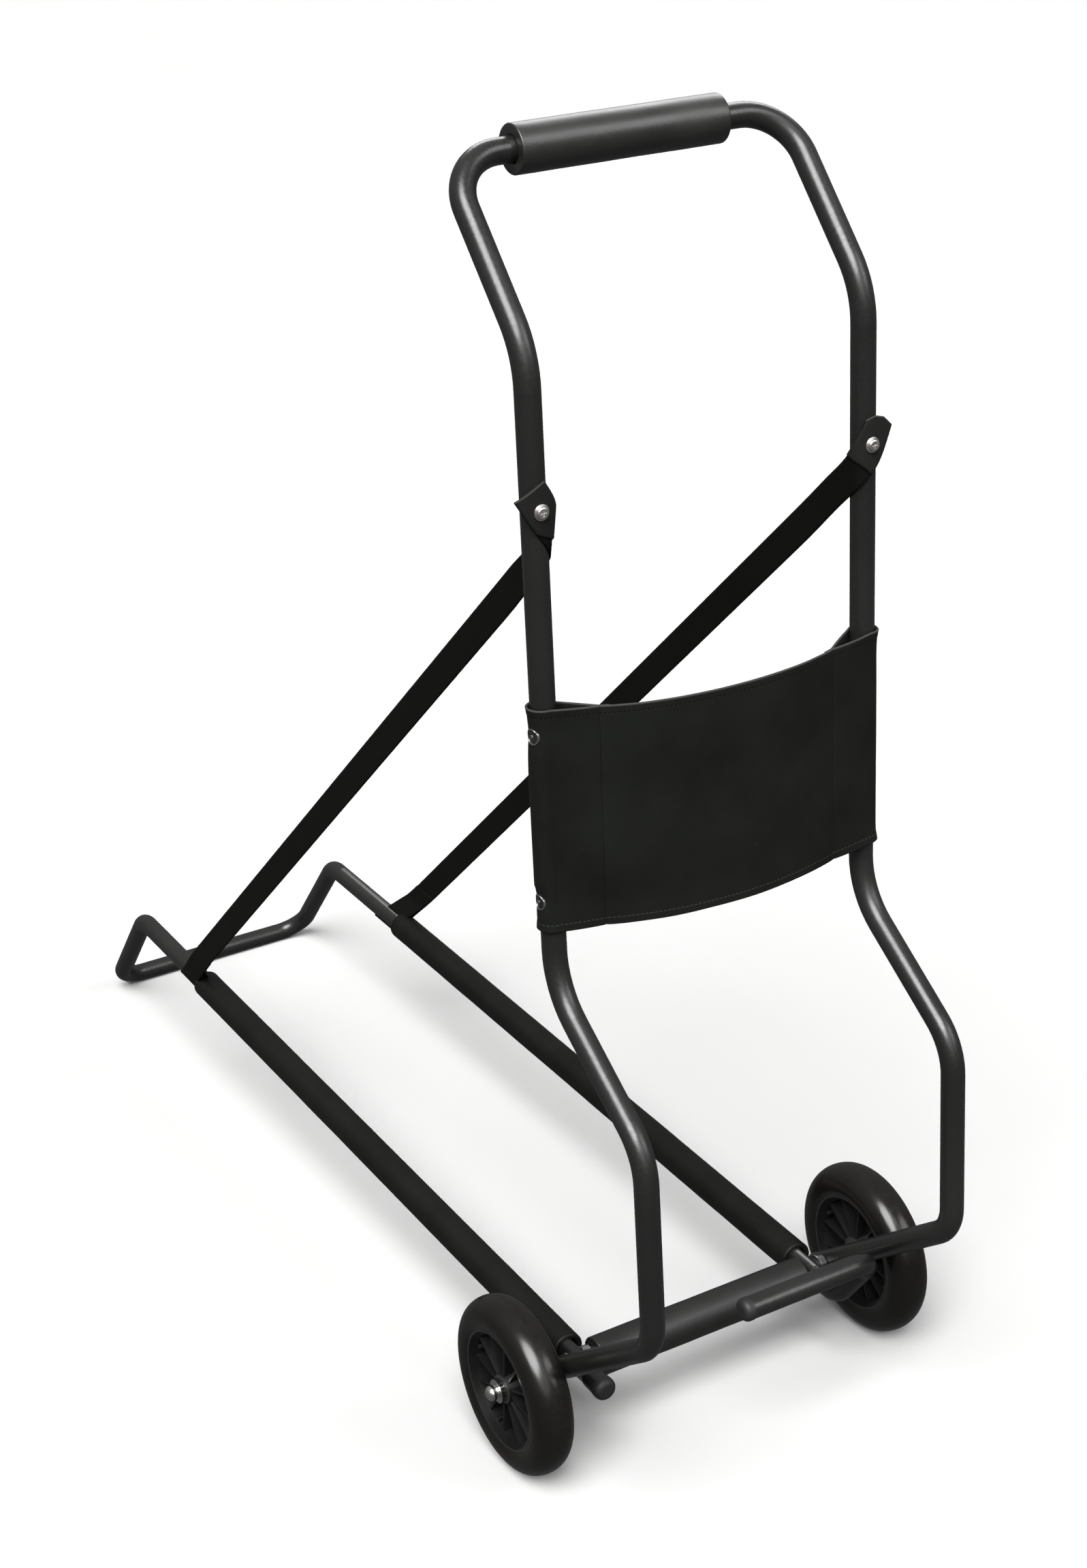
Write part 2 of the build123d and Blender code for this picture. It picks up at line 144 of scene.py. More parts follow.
def sewn(lines, length=2.7, gap=1.0, width=0.36, height=0.26):
    """Thread stitches along polylines of (points, normals). Returns verts, faces, uv."""
    verts, faces, uv = [], [], []
    ring = 6
    for pts, nrm in lines:
        seg = np.linalg.norm(np.diff(pts, axis=0), axis=1)
        s = np.concatenate([[0], np.cumsum(seg)])
        at = gap
        while at + length < s[-1]:
            c, n = [], []
            for f in (0.0, 0.12, 0.32, 0.5, 0.68, 0.88, 1.0):
                q = at + f * length
                c.append([np.interp(q, s, pts[:, a]) for a in range(3)])
                n.append([np.interp(q, s, nrm[:, a]) for a in range(3)])
            c, n = np.array(c), np.array(n)
            n /= np.linalg.norm(n, axis=1, keepdims=True)
            t = c[-1] - c[0]
            t /= np.linalg.norm(t)
            rise = np.array([-0.30, -0.02, 0.10, 0.13, 0.10, -0.02, -0.30])
            fat = np.array([0.35, 0.85, 1.0, 1.0, 1.0, 0.85, 0.35])
            base = len(verts)
            for q in range(7):
                side = np.cross(t, n[q])
                for r in range(ring):
                    an = 2 * math.pi * r / ring
                    p = c[q] + n[q] * (rise[q] + math.sin(an) * height * fat[q]) + side * math.cos(an) * width * fat[q]
                    verts.append(p)
                    uv.append((at + q * length / 6, an * width))
            for q in range(6):
                for r in range(ring):
                    r2 = (r + 1) % ring
                    faces.append((base + q * ring + r, base + q * ring + r2, base + (q + 1) * ring + r2, base + (q + 1) * ring + r))
            faces.append([base + r for r in range(ring)][::-1])
            faces.append([base + 6 * ring + r for r in range(ring)])
            at += length + gap
    return np.array(verts), faces, np.array(uv)


# ---------------------------------------------------------------- materials
class Nodes:
    """A material and short ways to add nodes to it."""

    def __init__(self, name):
        self.mat = bpy.data.materials.new(name)
        self.mat.use_nodes = True
        self.t = self.mat.node_tree
        self.b = self.t.nodes["Principled BSDF"]

    def add(self, kind, ins=None, **props):
        n = self.t.nodes.new(kind)
        for k, v in props.items():
            setattr(n, k, v)
        for k, v in (ins or {}).items():
            if isinstance(v, bpy.types.NodeSocket):
                self.t.links.new(v, n.inputs[k])
            else:
                n.inputs[k].default_value = v
        return n

    def put(self, name, v):
        if isinstance(v, bpy.types.NodeSocket):
            self.t.links.new(v, self.b.inputs[name])
        else:
            self.b.inputs[name].default_value = v

    def obj(self):
        return self.add("ShaderNodeTexCoord").outputs["Object"]

    def uv(self):
        return self.add("ShaderNodeUVMap", uv_map="UVMap").outputs["UV"]

    def noise(self, co, scale, detail=2.0, rough=0.5, distortion=0.0):
        return self.add("ShaderNodeTexNoise", {"Vector": co, "Scale": scale, "Detail": detail, "Roughness": rough,
                                               "Distortion": distortion}).outputs["Fac"]

    def cells(self, co, scale):
        return self.add("ShaderNodeTexVoronoi", {"Vector": co, "Scale": scale}).outputs["Distance"]

    def ramp(self, fac, stops):
        n = self.add("ShaderNodeValToRGB", {"Fac": fac})
        el = n.color_ramp.elements
        while len(el) < len(stops):
            el.new(0.5)
        for e, (p, c) in zip(el, stops):
            e.position, e.color = p, (*c, 1.0)
        return n.outputs["Color"]

    def span(self, v, a, b, c, d):
        return self.add("ShaderNodeMapRange", {"Value": v, "From Min": a, "From Max": b, "To Min": c, "To Max": d}).outputs["Result"]

    def math(self, op, a, b=None, c=None):
        n = self.add("ShaderNodeMath", operation=op)
        for i, v in enumerate((a, b, c)):
            if v is None:
                continue
            if isinstance(v, bpy.types.NodeSocket):
                self.t.links.new(v, n.inputs[i])
            else:
                n.inputs[i].default_value = v
        return n.outputs[0]

    def mix(self, fac, a, b, mode="MIX"):
        n = self.add("ShaderNodeMix", data_type="RGBA", blend_type=mode)
        for i, v in ((0, fac), (6, a), (7, b)):
            if isinstance(v, bpy.types.NodeSocket):
                self.t.links.new(v, n.inputs[i])
            else:
                n.inputs[i].default_value = v if i == 0 else (*v, 1.0)
        return n.outputs[2]

    def bump(self, height, distance, strength=1.0, normal=None):
        ins = {"Height": height, "Distance": distance, "Strength": strength}
        if normal is not None:
            ins["Normal"] = normal
        return self.add("ShaderNodeBump", ins).outputs["Normal"]

    def xyz(self, v):
        return self.add("ShaderNodeSeparateXYZ", {"Vector": v}).outputs

    def vec(self, x, y, z):
        n = self.add("ShaderNodeCombineXYZ")
        for i, v in enumerate((x, y, z)):
            if isinstance(v, bpy.types.NodeSocket):
                self.t.links.new(v, n.inputs[i])
            else:
                n.inputs[i].default_value = v
        return n.outputs[0]


def wave(n, v, period_mm, shift=0.0):
    """Sine of a length in metres, 0 to 1."""
    s = n.math("SINE", n.math("MULTIPLY_ADD", v, 2 * math.pi / (period_mm * 0.001), shift))
    return n.math("MULTIPLY_ADD", s, 0.5, 0.5)


def make_frame_coat():
    n = Nodes("coat_black_satin")
    co = n.obj()
    drift, peel, grain = n.noise(co, 9, 3), n.noise(co, 420, 2), n.noise(co, 2300, 2)
    speck = n.noise(co, 1250, 1, 0.4)
    base = n.ramp(drift, [(0.30, (0.0098, 0.0100, 0.0094)), (0.72, (0.0150, 0.0151, 0.0142))])
    base = n.mix(n.span(speck, 0.66, 0.78, 0.0, 0.25), base, (0.055, 0.056, 0.054))
    n.put("Base Color", base)
    n.put("Roughness", n.span(n.math("ADD", peel, n.math("MULTIPLY", drift, 0.5)), 0.5, 1.0, 0.25, 0.36))
    n.put("Specular IOR Level", 0.65)
    n.put("Normal", n.bump(grain, 0.00005, 0.5, n.bump(peel, 0.00022, 0.22)))
    return n.mat


def make_foam(name, lo, hi, r0, r1, spec):
    n = Nodes(name)
    co = n.obj()
    slow, pores, fine = n.noise(co, 22, 3), n.cells(co, 780), n.noise(co, 1600, 3)
    c = n.ramp(n.math("ADD", n.math("MULTIPLY", slow, 0.6), n.math("MULTIPLY", fine, 0.4)), [(0.32, lo), (0.68, hi)])
    c = n.mix(n.span(pores, 0.0, 0.22, 0.55, 0.0), c, (0.006, 0.006, 0.0056))
    n.put("Base Color", c)
    n.put("Roughness", n.span(n.math("ADD", n.math("MULTIPLY", fine, 0.5), n.math("MULTIPLY", slow, 0.5)), 0.3, 0.7, r0, r1))
    n.put("Specular IOR Level", spec)
    n.put("Normal", n.bump(pores, 0.00012, 0.35, n.bump(n.noise(co, 95, 2), 0.0006, 0.28)))
    return n.mat


def make_canvas():
    n = Nodes("canvas_black_weave")
    co = n.obj()
    u, v, _ = n.xyz(n.uv())
    wander = n.math("MULTIPLY", n.math("SUBTRACT", n.noise(co, 130, 2), 0.5), 0.0004)
    a = wave(n, n.math("ADD", n.math("ADD", u, v), wander), 1.66)
    b = wave(n, n.math("SUBTRACT", n.math("ADD", u, wander), v), 1.66)
    weave = n.math("MULTIPLY", a, n.math("MULTIPLY_ADD", b, 0.5, 0.5))
    yarn = n.math("MULTIPLY", wave(n, u, 0.59), wave(n, v, 0.59))
    h = n.math("ADD", n.math("MULTIPLY", weave, 0.7), n.math("MULTIPLY", yarn, 0.3))
    slow = n.noise(co, 16, 3)
    c = n.ramp(n.math("ADD", n.math("MULTIPLY", h, 0.75), n.math("MULTIPLY", slow, 0.44)),
               [(0.15, (0.0014, 0.0016, 0.0013)), (0.90, (0.0205, 0.0223, 0.0192))])
    lint = n.noise(co, 700, 1)
    c = n.mix(n.span(lint, 0.74, 0.82, 0.0, 0.35), c, (0.06, 0.061, 0.057))
    # painted highlight: a pale line along the top edge of the cloth
    c = n.mix(n.span(n.math("ADD", v, n.math("MULTIPLY", slow, 0.0005)), 0.0868, 0.0875, 0.0, 0.75), c, (0.060, 0.061, 0.057))
    n.put("Base Color", c)
    n.put("Roughness", n.span(h, 0.0, 1.0, 0.90, 0.72))
    n.put("Specular IOR Level", 0.05)
    n.put("Sheen Weight", 0.012)
    n.put("Sheen Roughness", 0.45)
    n.put("Normal", n.bump(h, 0.00022, 0.55))
    return n.mat


def make_webbing(name, across, low, top, rib_share=0.72, depth=0.7, gloss=0.16):
    """Ribbed webbing; the ribs run along the strap, or across it on its other face."""
    n = Nodes(name)
    co = n.obj()
    u, v, _ = n.xyz(n.uv())
    rib = wave(n, u if across else v, 1.1)
    tick = wave(n, n.math("ADD", v if across else u, n.math("MULTIPLY", rib, 0.0003)), 0.85)
    h = n.math("ADD", n.math("MULTIPLY", rib, rib_share), n.math("MULTIPLY", tick, 1 - rib_share))
    slow = n.noise(co, 30, 3)
    c = n.ramp(n.math("ADD", n.math("MULTIPLY", h, 0.75), n.math("MULTIPLY", slow, 0.3)),
               [(0.22, low), (0.95, top)])
    fuzz = n.noise(co, 900, 1)
    c = n.mix(n.span(fuzz, 0.72, 0.82, 0.0, 0.3), c, (0.06, 0.06, 0.056))
    n.put("Base Color", c)
    n.put("Roughness", n.span(h, 0.0, 1.0, 0.82, 0.62))
    n.put("Specular IOR Level", gloss)
    n.put("Sheen Weight", gloss * 0.09)
    n.put("Normal", n.bump(h, 0.00030, depth))
    return n.mat


def make_thread():
    n = Nodes("thread_black")
    co = n.obj()
    u, v, _ = n.xyz(n.uv())
    ply = wave(n, n.math("MULTIPLY_ADD", v, 1.6, u), 0.55)
    n.put("Base Color", n.ramp(n.math("ADD", n.math("MULTIPLY", ply, 0.7), n.math("MULTIPLY", n.noise(co, 260, 2), 0.3)),
                               [(0.2, (0.014, 0.0145, 0.0132)), (0.9, (0.042, 0.0436, 0.0396))]))
    n.put("Roughness", n.span(ply, 0, 1, 0.75, 0.55))
    n.put("Normal", n.bump(ply, 0.00008, 0.6))
    return n.mat


def wheel_coords(n, co):
    """(angle round the axle, radius, x) of a point."""
    x, y, z = n.xyz(co)
    dy, dz = n.math("SUBTRACT", y, AY * 0.001), n.math("SUBTRACT", z, AZ * 0.001)
    ang = n.math("ARCTAN2", dz, dy)
    rad = n.math("SQRT", n.math("ADD", n.math("MULTIPLY", dy, dy), n.math("MULTIPLY", dz, dz)))
    return ang, rad, x


def make_tyre():
    n = Nodes("tyre_dark_semigloss")
    co = n.obj()
    ang, rad, x = wheel_coords(n, co)
    along = n.vec(n.math("MULTIPLY", n.math("COSINE", ang), 0.02), n.math("MULTIPLY", rad, 2.2), n.math("MULTIPLY", x, 2.2))
    streak = n.noise(along, 420, 3)
    blotch, fine = n.noise(co, 34, 3), n.noise(co, 1500, 2)
    c = n.ramp(n.math("ADD", n.math("MULTIPLY", blotch, 0.6), n.math("MULTIPLY", streak, 0.4)),
               [(0.28, (0.0047, 0.0041, 0.0033)), (0.72, (0.0072, 0.0064, 0.0052))])
    dust = n.math("MULTIPLY", n.span(rad, 0.0715, 0.0750, 0.0, 1.0), n.span(n.noise(co, 240, 4), 0.40, 0.75, 0.0, 0.10))
    c = n.mix(dust, c, (0.036, 0.033, 0.029))
    n.put("Base Color", c)
    r = n.span(n.math("ADD", n.math("MULTIPLY", streak, 0.7), n.math("MULTIPLY", blotch, 0.3)), 0.3, 0.7, 0.20, 0.25)
    n.put("Roughness", n.math("ADD", r, n.math("MULTIPLY", dust, 0.45)))
    n.put("Specular IOR Level", 0.5)
    n.put("Normal", n.bump(fine, 0.00005, 0.5, n.bump(streak, 0.00012, 0.4)))
    return n.mat


def make_hub():
    n = Nodes("hub_black_moulded")
    co = n.obj()
    ang, rad, x = wheel_coords(n, co)
    fine, slow = n.noise(co, 1300, 2), n.noise(co, 40, 3)
    lathe = wave(n, rad, 1.1)
    c = n.ramp(slow, [(0.3, (0.0047, 0.0049, 0.0047)), (0.72, (0.0082, 0.0084, 0.0080))])
    # painted highlight: sharp edges, found by pointiness, are made lighter
    edge = n.add("ShaderNodeNewGeometry").outputs["Pointiness"]
    c = n.mix(n.span(edge, 0.53, 0.62, 0.0, 0.7), c, (0.048, 0.049, 0.047))
    n.put("Base Color", c)
    n.put("Roughness", n.span(n.math("ADD", n.math("MULTIPLY", fine, 0.6), n.math("MULTIPLY", slow, 0.4)), 0.3, 0.7, 0.36, 0.50))
    n.put("Specular IOR Level", 0.38)
    n.put("Normal", n.bump(lathe, 0.00010, 0.18, n.bump(fine, 0.00006, 0.5)))
    return n.mat


def make_metal(name, lo, hi, r0, r1, turned=True):
    n = Nodes(name)
    co = n.obj()
    slow, fine = n.noise(co, 120, 3), n.noise(co, 2600, 2)
    ang, rad, x = wheel_coords(n, co)
    n.put("Base Color", n.ramp(slow, [(0.3, lo), (0.7, hi)]))
    n.put("Metallic", 1.0)
    n.put("Roughness", n.span(n.math("ADD", n.math("MULTIPLY", slow, 0.5), n.math("MULTIPLY", fine, 0.5)), 0.3, 0.7, r0, r1))
    if turned:
        n.put("Normal", n.bump(wave(n, rad, 0.32), 0.00003, 0.35, n.bump(fine, 0.00003, 0.35)))
    else:
        n.put("Normal", n.bump(fine, 0.00004, 0.4, n.bump(slow, 0.0002, 0.1)))
    return n.mat


def make_moulded(name, lo, hi, r0, r1):
    n = Nodes(name)
    co = n.obj()
    slow, fine, mid = n.noise(co, 60, 3), n.noise(co, 1700, 2), n.noise(co, 420, 2)
    n.put("Base Color", n.ramp(n.math("ADD", n.math("MULTIPLY", slow, 0.7), n.math("MULTIPLY", mid, 0.3)), [(0.3, lo), (0.7, hi)]))
    n.put("Roughness", n.span(fine, 0.3, 0.7, r0, r1))
    n.put("Normal", n.bump(fine, 0.00006, 0.5, n.bump(mid, 0.0001, 0.3)))
    return n.mat


coat = make_frame_coat()
# painted shade: the rail foam is the grip's foam made darker, standing in for shade over the rails
foam = make_foam("foam_black_matte_painted_shade", (0.0028, 0.0029, 0.0025), (0.0056, 0.0057, 0.0050), 0.46, 0.60, 0.24)
# painted shade: the cross foam is the grip's foam made darker, standing in for shade from above
foam_cross_painted_shade = make_foam("foam_black_cross_painted_shade", (0.0048, 0.0050, 0.0044), (0.0092, 0.0094, 0.0084), 0.36, 0.48, 0.8)
foam_grip = make_foam("foam_black_skinned", (0.0095, 0.0096, 0.0088), (0.0165, 0.0167, 0.0152), 0.32, 0.44, 0.9)
canvas = make_canvas()
web_low = (0.0035, 0.0037, 0.0033)
web_long = make_webbing("webbing_black_long", False, (0.0030, 0.0030, 0.0026), (0.0074, 0.0074, 0.0065), 0.45, 0.38, 0.05)
web_cross = make_webbing("webbing_black_cross", True, web_low, (0.022, 0.0232, 0.0204), 0.68, 0.6)
web_plain = make_webbing("webbing_black_plain", True, web_low, (0.0150, 0.0158, 0.0140), 0.6, 0.5)
# painted highlight: the fold round the strap's end is much lighter than the rest of the webbing
web_fold_painted_highlight = make_webbing("webbing_black_fold_painted_highlight", True, web_low, (0.075, 0.078, 0.070))
thread = make_thread()
tyre, hub = make_tyre(), make_hub()
chrome = make_metal("plate_bright", (0.70, 0.69, 0.67), (0.86, 0.85, 0.83), 0.13, 0.26)
nickel = make_metal("nickel_bright", (0.74, 0.72, 0.69), (0.90, 0.88, 0.85), 0.26, 0.40, False)
# painted shade: this zinc is made dark, standing in for shade on the nuts and washers at the axle
zinc = make_metal("zinc_dark_painted_shade", (0.17, 0.17, 0.17), (0.27, 0.27, 0.268), 0.34, 0.50)
rivet_rim = make_metal("rivet_rim_plated", (0.52, 0.52, 0.51), (0.74, 0.73, 0.71), 0.18, 0.34, False)
rivet_cup = make_metal("rivet_cup_dark", (0.10, 0.10, 0.10), (0.20, 0.195, 0.19), 0.24, 0.42, False)
nylon = make_moulded("nylon_dark_moulded", (0.0062, 0.0062, 0.0063), (0.0110, 0.0110, 0.0110), 0.40, 0.55)
cap = make_moulded("cap_black_soft", (0.0105, 0.0106, 0.0102), (0.0190, 0.0192, 0.0186), 0.48, 0.62)

FINISH = {"frame_black": coat, "foam_black": foam, "twill_black": canvas, "webbing_black": web_long, "rivet_gunmetal": rivet_rim,
          "bright_nickel": nickel, "bright_chrome": chrome, "zinc_steel": zinc, "nylon_dark": nylon, "cap_black": cap,
          "hub_black": hub, "tyre_black": tyre}
for row in frame["record"]["subparts"]:
    ob = nodes[row["node"]]
    ob.data.materials.clear()
    ob.data.materials.append(FINISH[row["material_slot"]])

# ring rivets: bright rim and pip, dark dished middle
RIVETS = {-1: ((-61.6, 88.0), (69.8, 80.0)), 1: ((-61.6, 118.0), (69.8, 118.0))}    # height from 578, turn from straight back
riv = nodes["panel_rivets"]
riv.data.materials.append(rivet_cup)
for poly in riv.data.polygons:
    c = np.array(poly.center) * 1000.0
    side = -1 if c[0] < 0 else 1
    up_, turn_ = RIVETS[side][1 if c[2] > 580 else 0]
    o = riser(578.0) + up_ * UP + np.array([side * X_UP, 0, 0])
    ax = np.array([side * math.sin(math.radians(turn_)), 0, 0]) + math.cos(math.radians(turn_)) * BACK
    q = c - o
    out = np.linalg.norm(q - (q @ ax) * ax)
    if 1.5 < out < 5.1 or out < 0.75:
        poly.material_index = 1

# ---------------------------------------------------------------- foam sleeves
def foam_sleeve(name, body, p0, p1, r_out, r_in, end, seed, skin, amp=0.16):
    """Foam tube slid on a bar: softly uneven outside, rolled cut ends."""
    p0, p1 = np.array(p0, float), np.array(p1, float)
    L = np.linalg.norm(p1 - p0)
    t = (p1 - p0) / L
    e1 = np.cross(t, [0.0, 0.0, 1.0]); e1 /= np.linalg.norm(e1)
    e2 = np.cross(e1, t)
    prof = [(0.9, r_in), (0.25, r_in + 0.9), (0.0, r_in + 2.0), (0.0, r_out - end)]
    for a in np.linspace(0, 90, 7)[1:]:
        a = math.radians(a)
        prof.append((end * (1 - math.cos(a)), r_out - end + end * math.sin(a)))
    n_run = max(6, int(L / 7))
    for s in np.linspace(end, L - end, n_run)[1:-1]:
        prof.append((s, r_out))
    for a in np.linspace(90, 0, 7)[:-1]:
        a = math.radians(a)
        prof.append((L - end * (1 - math.cos(a)), r_out - end + end * math.sin(a)))
    prof += [(L, r_out - end), (L, r_in + 2.0), (L - 0.25, r_in + 0.9), (L - 0.9, r_in)]
    seg, verts, uv, faces = 72, [], [], []
    for s, r in prof:
        share = (r - r_in) / (r_out - r_in)
        for k in range(seg):
            a = 2 * math.pi * k / seg
            d = math.cos(a) * e1 + math.sin(a) * e2
            q = p0 + t * s + d * r
            dr = share * amp * (wob(*q, 46, seed) + 0.45 * wob(*q, 15, seed + 3))
            ds = share * 0.25 * wob(*(d * 20), 14, seed + (5 if s > L / 2 else 9)) if min(s, L - s) < 3 else 0.0
            verts.append(p0 + t * (s + ds) + d * (r + dr))
            uv.append((s, a * r_out))
    n = len(prof)
    for i in range(n):
        for k in range(seg):
            i2, k2 = (i + 1) % n, (k + 1) % seg
            faces.append((i * seg + k, i * seg + k2, i2 * seg + k2, i2 * seg + k))
    ob = link(name, verts, faces, uv, [skin])
    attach(ob, body)
    return ob


def rail_at(s, side):
    return (side * X_RAIL, AY + s * RAIL[0], AZ + s * RAIL[1])


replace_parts(foam_sleeve("grip_foam", "upright", (-89, AY + 27.5, 1041.5), (82.5, AY + 27.5, 1041.5), 18.0, 9.5, 1.1, 1.0, foam_grip), "grip")
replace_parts(foam_sleeve("left_rail_foam", "base", rail_at(15.5, -1), rail_at(753, -1), 14.0, 9.5, 1.9, 2.0, foam), "left_rail_sleeve")
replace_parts(foam_sleeve("right_rail_foam", "base", rail_at(17.6, 1), rail_at(753, 1), 14.0, 9.5, 1.9, 3.0, foam), "right_rail_sleeve")
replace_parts(foam_sleeve("cross_foam", "base", (-99.5, AY, AZ - 4.3), (106.6, AY, AZ - 4.3), 16.8, 10.8, 1.6, 4.0, foam_cross_painted_shade), "cross_sleeve")

# ---------------------------------------------------------------- back panel
PZ_L, PZ_R, PH = 581.0, 575.5, 175.0        # the panel hangs a little lower on the right
BOW, SEAM = 30.5, 102.8
R_BOW = (X_UP ** 2 + BOW ** 2) / (2 * BOW)


def belly(x):
    return BOW - (R_BOW - math.sqrt(R_BOW ** 2 - x * x))


def panel_point(x, dep, h):
    share = max(0.0, 1 - abs(x / X_UP) ** 3)
    sag = share * (4.5 + 1.5 * (h / PH + 0.5))
    drop = (PZ_R - PZ_L) * (x + X_UP) / (2 * X_UP)
    near = max(0.0, 1 - (PH / 2 - abs(h)) / 26.0)
    edge = 0.55 * near * wob(x, 0, 40 if h > 0 else -40, 52, 2.0)
    return riser(PZ_L) + np.array([x, 0, 0]) + dep * BACK + (h + drop - sag + edge) * UP


def half_path(h, side):
    """(x, depth) along one half of the panel's section at a height, from the front layer's edge to the middle."""
    top, low = PH / 2 - h, h + PH / 2
    flare = 1.7 * math.exp(-top / 7.5) + (1.2 if side < 0 else 1.8) * math.exp(-low / 8.5)
    cx, r = X_UP + 0.62 * flare, 10.35 + 0.42 * flare
    loose = (2.1 if side < 0 else 0.5) * float(smooth(top / 55.0)) * float(smooth(low / 30.0))
    z_mid = PZ_L if side < 0 else PZ_R

    def arm(a):
        """Radius of the sleeve at an angle: a little loose outboard, pinched down at the rivets."""
        off = min(math.hypot(11.0 * (a - math.radians(90 - t)), h + z_mid - 578.0 - u) for u, t in RIVETS[side])
        full = float(smooth((off - 5.5) / 8.0))
        return r + full * (0.25 + loose * max(0.0, math.cos(a - 0.1)) ** 1.5) - 0.25

    xs = SEAM - 1.0 * (h / PH + 0.5)
    pts = []
    for x in np.linspace(xs - 7.5, xs, 7)[:-1]:
        pts.append((x, belly(x) - 1.2))
    sf, sr = (xs, belly(xs) - 1.2), (xs, belly(xs))

    def tangent(p, sign):
        dx, dy = cx - p[0], -p[1]
        d = math.hypot(dx, dy)
        a = math.atan2(dy, dx) + sign * math.asin(r / d)
        l = math.sqrt(d * d - r * r)
        return (p[0] + l * math.cos(a), p[1] + l * math.sin(a))

    t1, t2 = tangent(sf, -1), tangent(sr, 1)
    for f in np.linspace(0, 1, 20)[:-1]:
        slack = 0.9 * math.sin(math.pi * f) * math.exp(-min(top, low) / 18.0)
        pts.append((sf[0] + (t1[0] - sf[0]) * f, sf[1] + (t1[1] - sf[1]) * f - slack))
    a1, a2 = math.atan2(t1[1], t1[0] - cx), math.atan2(t2[1], t2[0] - cx)
    for a in np.linspace(a1, a2, 36)[:-1]:
        pts.append((cx + arm(a) * math.cos(a), arm(a) * math.sin(a)))
    run = math.hypot(t2[0] - sr[0], t2[1] - sr[1])
    for f in np.linspace(0, 1 - 2.9 / run, 20):
        slack = 0.5 * math.sin(math.pi * f) * math.exp(-min(top, low) / 20.0)
        pts.append((t2[0] + (sr[0] - t2[0]) * f, t2[1] + (sr[1] - t2[1]) * f + slack))
    fine = [0.30, 0.60, 0.95, 1.5, 2.3]
    for o in fine[::-1]:
        pts.append((sr[0] + (t2[0] - sr[0]) * o / run, sr[1] + (t2[1] - sr[1]) * o / run))
    seam_at = len(pts)
    pts.append(sr)
    for o in fine:
        pts.append((xs - o, belly(xs - o)))
    for f in np.linspace(0, 1, 56)[1:] ** 1.05:
        x = (xs - 2.3) * (1 - f)
        pts.append((x, belly(x)))
    pts = np.array(pts)
    # the seam is a narrow fold drawn into the cloth
    on_rear = np.arange(len(pts)) > 60
    pts[:, 1] -= np.where(on_rear, 0.75 * np.exp(-((pts[:, 0] - xs) / 0.50) ** 2) + 0.25 * np.exp(-((pts[:, 0] - xs) / 2.2) ** 2), 0.0)
    return pts, seam_at


edge_steps = [0, 0.5, 1.2, 2.2, 3.4, 4.4, 4.9, 5.2, 5.45, 5.8, 6.5, 7.6, 10.0, 13, 16, 20]
inner = np.linspace(20, PH - 20, 28)[1:-1]
heights = np.array(edge_steps + list(inner) + [PH - e for e in edge_steps[::-1]]) - PH / 2
rows = []
for h in heights:
    half, seam_at = half_path(h, 1)
    other, _ = half_path(h, -1)
    rows.append(np.concatenate([half, other[::-1][1:] * np.array([-1.0, 1.0])]))
sec = np.array(rows)                                  # [height, station, (x, depth)]
n_st = sec.shape[1]
P = np.zeros((n_st, len(heights), 3))
for j, h in enumerate(heights):
    for i in range(n_st):
        x, dep = sec[j, i]
        free = 1.0 if abs(x) < SEAM + 30 else 0.25
        dep = dep + free * (0.55 * wob(x, h, 0, 58, 5.0) + 0.22 * wob(x, h, 0, 21, 6.0))
        P[i, j] = panel_point(x, dep, h)
mid_row = len(heights) // 2
step = np.linalg.norm(np.diff(P[:, mid_row], axis=0), axis=1)
along = np.concatenate([[0], np.cumsum(step)])
U = np.repeat(along[:, None], len(heights), 1)
V = np.repeat(heights[None, :], n_st, 0)
to_edge = PH / 2 - np.abs(heights)
T_row = np.where(to_edge < 5.3, 1.65, 1.05) - 0.32 * np.exp(-((to_edge - 5.45) / 0.35) ** 2)
N = grid_normals(P)
if (N[n_st // 2, mid_row] @ BACK) < 0:
    N = -N
    flip = True
else:
    flip = False
v_, f_, uv_, _ = thick_strip(P, U, V, T_row[None, :], N)
if not flip:
    f_ = [f[::-1] for f in f_]
panel = link("panel_cloth", v_, f_, uv_, [canvas])
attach(panel, "upright")
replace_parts(panel, "back_panel")

outer = P + N * T_row[None, :, None] / 2
lines = []
for e in (5.45, PH - 5.45):
    j = int(np.argmin(np.abs(heights + PH / 2 - e)))
    lines.append((outer[:, j] - N[:, j] * 0.05, N[:, j]))
v_, f_, uv_ = sewn(lines, 2.6, 1.0, 0.30, 0.20)
stitches = link("panel_stitching", v_, f_, uv_, [thread])
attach(stitches, "upright")

# ---------------------------------------------------------------- straps
W2 = 12.5
WEB = 1.05                                            # webbing thickness
RUN_MID, RUN_U = np.array([14.0, 724.8]), np.array([759.9, -608.05])
RUN_U = RUN_U / np.linalg.norm(RUN_U)
RUN_N = np.array([-RUN_U[1], RUN_U[0]])               # forward and up, square to the run


